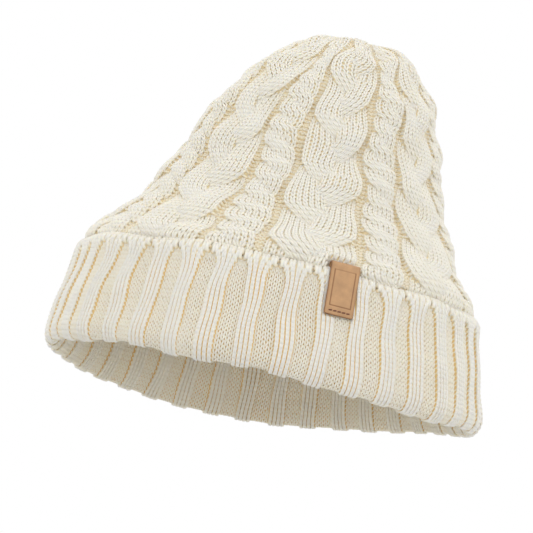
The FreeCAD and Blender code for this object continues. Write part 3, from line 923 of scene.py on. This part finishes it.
def tinted(tree, color, noise, low, high):
    """The colour made a little darker and lighter by the noise."""
    level = tree.nodes.new("ShaderNodeMapRange")
    level.inputs["From Min"].default_value = 0.3
    level.inputs["From Max"].default_value = 0.7
    level.inputs["To Min"].default_value = low
    level.inputs["To Max"].default_value = high
    tree.links.new(noise.outputs["Fac"], level.inputs["Value"])
    scale = tree.nodes.new("ShaderNodeVectorMath")
    scale.operation = "SCALE"
    tree.links.new(color, scale.inputs[0])
    tree.links.new(level.outputs["Result"], scale.inputs["Scale"])
    return scale.outputs["Vector"]


def bump_from(tree, noise, strength, distance):
    bump = tree.nodes.new("ShaderNodeBump")
    bump.inputs["Strength"].default_value = strength
    bump.inputs["Distance"].default_value = distance
    tree.links.new(noise.outputs["Fac"], bump.inputs["Height"])
    return bump


def yarn_material(name, depth):
    """Soft cream wool with painted shade and highlight: warm tan painted into the hollows of the
    stitches, pale on the loops.

    Its colours are raised to the power depth, which makes them deeper, for a copy with painted
    shade.
    """
    material, tree, shader = new_material(name)
    # From painted shade in the hollows (low) to a painted highlight on the loops (high).
    stops = [
        (0.05, (0.78, 0.51, 0.20)),
        (0.28, (0.88, 0.71, 0.43)),
        (0.50, (0.92, 0.84, 0.67)),
        (0.85, (0.93, 0.89, 0.79)),
    ]
    ramp = shade_and_wear_ramp(tree, [(place, (*(c ** depth for c in color), 1))
                              for place, color in stops])
    cloudy = noise_node(tree, 90.0)
    tree.links.new(tinted(tree, ramp.outputs["Color"], cloudy, 0.965, 1.0),
                   shader.inputs["Base Color"])
    fibres = noise_node(tree, 2600.0, 4.0)
    tree.links.new(bump_from(tree, fibres, 0.55, 0.00025).outputs["Normal"],
                   shader.inputs["Normal"])
    shader.inputs["Roughness"].default_value = 0.9
    shader.inputs["Sheen Weight"].default_value = 0.25
    shader.inputs["Subsurface Weight"].default_value = 0.3
    shader.inputs["Subsurface Radius"].default_value = (1.0, 0.8, 0.5)
    shader.inputs["Subsurface Scale"].default_value = 0.001
    shader.inputs["Sheen Roughness"].default_value = 0.6
    shader.inputs["Specular IOR Level"].default_value = 0.15
    return material


def leather_material():
    """Vegetable-tanned leather: fine grain, burnished edges and pressed line."""
    material, tree, shader = new_material("tan_leather")
    ramp = shade_and_wear_ramp(tree, [
        (0.20, (0.13, 0.055, 0.022, 1)),
        (0.62, (0.36, 0.185, 0.08, 1)),
        (0.97, (0.545, 0.315, 0.155, 1)),
    ])
    blotch = noise_node(tree, 260.0, 5.0)
    tree.links.new(tinted(tree, ramp.outputs["Color"], blotch, 0.86, 1.08),
                   shader.inputs["Base Color"])
    grain = noise_node(tree, 2400.0, 5.0)
    tree.links.new(bump_from(tree, grain, 0.5, 0.00012).outputs["Normal"],
                   shader.inputs["Normal"])
    rough = tree.nodes.new("ShaderNodeMapRange")
    rough.inputs["To Min"].default_value = 0.48
    rough.inputs["To Max"].default_value = 0.72
    tree.links.new(blotch.outputs["Fac"], rough.inputs["Value"])
    tree.links.new(rough.outputs["Result"], shader.inputs["Roughness"])
    return material


def thread_material():
    material, tree, shader = new_material("dark_thread")
    # Dark thread: the ramp runs from the painted shade of each ply to its lighter side.
    ramp = shade_and_wear_ramp(tree, [
        (0.10, (0.035, 0.010, 0.006, 1)),
        (0.90, (0.17, 0.045, 0.022, 1)),
    ])
    tree.links.new(ramp.outputs["Color"], shader.inputs["Base Color"])
    shader.inputs["Roughness"].default_value = 0.6
    shader.inputs["Sheen Weight"].default_value = 0.1
    return material


# ---------------------------------------------------------------------------------------------
# Stage, light and camera
# ---------------------------------------------------------------------------------------------

FLOOR_HEIGHT = -0.2     # below the camera, which looks up at the hat


def make_stage():
    bpy.ops.mesh.primitive_plane_add(size=6.0, location=(0, 0, FLOOR_HEIGHT))
    floor = bpy.context.object
    floor.name = "floor"
    material, _, shader = new_material("floor_paper")
    shader.inputs["Base Color"].default_value = (0.74, 0.74, 0.74, 1)
    shader.inputs["Roughness"].default_value = 0.9
    floor.data.materials.append(material)


def make_world():
    world = bpy.data.worlds.new("studio")
    bpy.context.scene.world = world
    world.use_nodes = True
    nodes, links = world.node_tree.nodes, world.node_tree.links
    background = nodes["Background"]
    background.inputs["Color"].default_value = (1, 1, 1, 1)
    seen = nodes.new("ShaderNodeLightPath")
    level = nodes.new("ShaderNodeMapRange")
    level.inputs["To Min"].default_value = 0.98
    level.inputs["To Max"].default_value = 1.0
    links.new(seen.outputs["Is Camera Ray"], level.inputs["Value"])
    links.new(level.outputs["Result"], background.inputs["Strength"])
    bpy.context.scene.view_settings.view_transform = "Standard"


def area_light(name, place, target, size, power):
    data = bpy.data.lights.new(name, "AREA")
    data.shape = "DISK"
    data.size = size
    data.energy = power
    lamp = bpy.data.objects.new(name, data)
    bpy.context.scene.collection.objects.link(lamp)
    lamp.location = place
    lamp.rotation_euler = (Vector(target) - Vector(place)).to_track_quat("-Z", "Y").to_euler()
    return lamp


CAMERA_DISTANCE = 1.5
CAMERA_BELOW = math.radians(7.5)
CAMERA_ROLL = math.radians(12.2)
FRAME_WIDTH = 0.2462
AIM_SHIFT = (0.0047, 0.0604)        # frame's middle from the brim's middle: across, up


def make_camera():
    data = bpy.data.cameras.new("camera")
    data.sensor_width = 36.0
    data.lens = data.sensor_width * CAMERA_DISTANCE / FRAME_WIDTH
    data.clip_end = 20.0
    camera = bpy.data.objects.new("camera", data)
    bpy.context.scene.collection.objects.link(camera)
    back = Vector((0, -math.cos(CAMERA_BELOW), -math.sin(CAMERA_BELOW)))
    level = (-back).to_track_quat("-Z", "Y").to_matrix()
    turned = level @ Matrix.Rotation(CAMERA_ROLL, 3, "Z")
    right, up = turned.col[0], turned.col[1]
    aim = right * AIM_SHIFT[0] + up * AIM_SHIFT[1]
    camera.matrix_world = Matrix.Translation(aim + back * CAMERA_DISTANCE) @ turned.to_4x4()
    bpy.context.scene.camera = camera


def flat_size(outline, first, last, widest=False):
    """Girth and length in metres of part of an outline, laid flat without its relief."""
    girth = 2 * math.pi * outline.radius(np.linspace(first, last, 400))
    return float(girth.max() if widest else girth.mean()) * MM, float(last - first) * MM


# ---------------------------------------------------------------------------------------------
# The scene
# ---------------------------------------------------------------------------------------------

random = np.random.default_rng(SEED)
make_camera()
make_world()
make_stage()
area_light("key", (-0.5, -1.5, 1.2), (0, 0, 0.08), 0.9, 4.0)
area_light("fill", (1.3, -1.2, 0.3), (0, 0, 0.08), 1.0, 1.0)

cream = yarn_material("cream_wool", 1.0)
# A deeper copy of the wool, painted shade for the inside of the brim.
painted_shade_cream = yarn_material("cream_wool_painted_shade", 1.6)
leather = leather_material()
thread = thread_material()

rib_waves = Wander(random, 0.45, 24, 45.0), Wander(random, 0.5, 12, 60.0)
crown_waves = Wander(random, 0.9, 14, 40.0), Wander(random, 0.8, 9, 45.0)
ribs = make_ribs(random, *rib_waves)
crown = make_crown(random, *crown_waves)
# The cores carry painted shade: deeper on the cuff, lighter on the brim.
brim_core = make_rib_core("brim_core", 0.5, FOLD_ALONG, *rib_waves,
                          sink=BRIM_CORE_SINK, shade_and_wear=-0.6)
cuff_core = make_rib_core("cuff_core", FOLD_ALONG, RIB_OUTLINE.length - 1.0, *rib_waves,
                          sink=CORE_SINK, shade_and_wear=-0.85)
crown_core = make_crown_core(*crown_waves)
label = make_label()
stitches = make_label_stitches(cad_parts["label_thread"])
gather = make_closing_yarn(corner("closing_yarn", 0), corner("closing_yarn", 1))
knot = make_closing_knot(corner("closing_knot", 0), corner("closing_knot", 1))

for piece in [*ribs[2:], *crown, cuff_core, crown_core, gather, knot]:
    piece.data.materials.append(cream)
# The brim's inside gets the wool with painted shade.
for piece in [*ribs[:2], brim_core]:
    piece.data.materials.append(painted_shade_cream)
label.data.materials.append(leather)
stitches.data.materials.append(thread)

brim, cuff = ribs[:2] + [brim_core], ribs[2:] + [cuff_core]
for piece in brim:
    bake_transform(piece)
for piece in cuff:
    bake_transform(piece)
for piece in [*crown, crown_core]:
    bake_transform(piece)
for piece, body, slot in ((label, "turned_cuff", "label_leather"),
                          (stitches, "turned_cuff", "label_thread"),
                          (gather, "crown_top", "yarn"), (knot, "crown_top", "yarn")):
    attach(piece, body)

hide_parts("inner_brim", "brim_fold")
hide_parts("cuff", "cuff_edge")
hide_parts("crown_wall", "crown_dome")
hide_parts("leather_label")
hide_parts("label_thread")
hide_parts("closing_yarn")
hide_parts("closing_knot")

crown_flat = flat_size(CROWN_OUTLINE, 0.0, CROWN_OUTLINE.length, widest=True)
crown_area = math.prod(flat_size(CROWN_OUTLINE, 0.0, CROWN_OUTLINE.length))
cuff_flat = flat_size(RIB_OUTLINE, FOLD_ALONG, RIB_OUTLINE.length)
brim_flat = flat_size(RIB_OUTLINE, 0.0, FOLD_ALONG)
